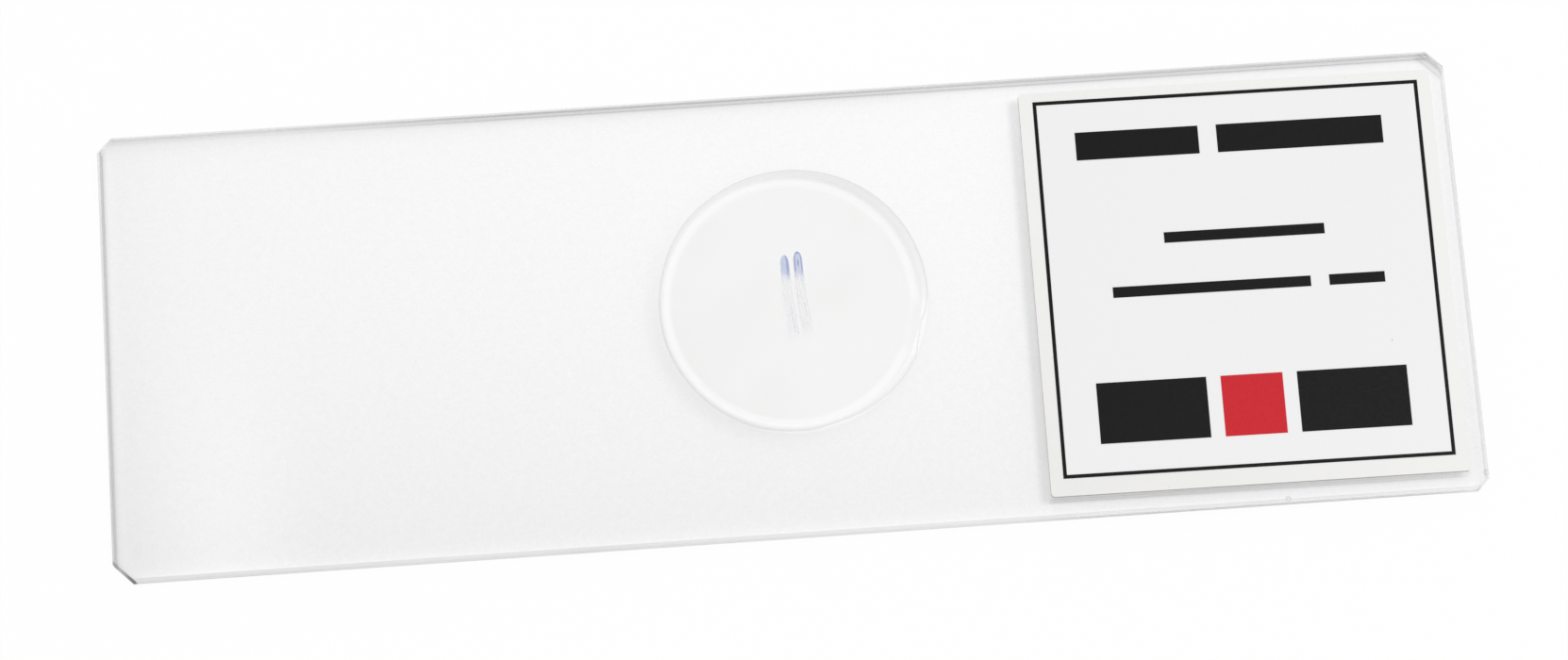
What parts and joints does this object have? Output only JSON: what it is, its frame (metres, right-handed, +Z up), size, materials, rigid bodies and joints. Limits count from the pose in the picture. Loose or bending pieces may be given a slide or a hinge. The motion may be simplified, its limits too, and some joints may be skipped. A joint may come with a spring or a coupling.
{
  "type": "microscope slide",
  "caption": "Glass plate with clipped, ground corners that carries stained tissue under a round cover glass set in resin, and a square printed paper label at one end.",
  "frame": {"origin": "centre of the plate's underside", "axes": "+X along the plate towards the label, +Y across the plate, +Z up, away from the surface that it lies on"},
  "size_m": [0.075, 0.025, 0.0014],
  "materials": {
    "plate_glass": "polished faces, ground edges",
    "cover_glass": "polished, cut edge",
    "mounting_resin": "clear, set from solution, glossy",
    "stained_tissue": "thin plant tissue, blue-violet stain, darkest at the root cap",
    "label_paper": "coated label stock, satin",
    "black_ink": "printed ink, satin",
    "red_ink": "printed ink, satin"
  },
  "bodies": {
    "root": {"glass_slide": "plate_glass", "section_left": "stained_tissue", "section_right": "stained_tissue", "mountant": "mounting_resin", "cover_glass": "cover_glass", "label": "label_paper", "label_print": "black_ink", "label_mark": "red_ink"}
  },
  "joints": []
}
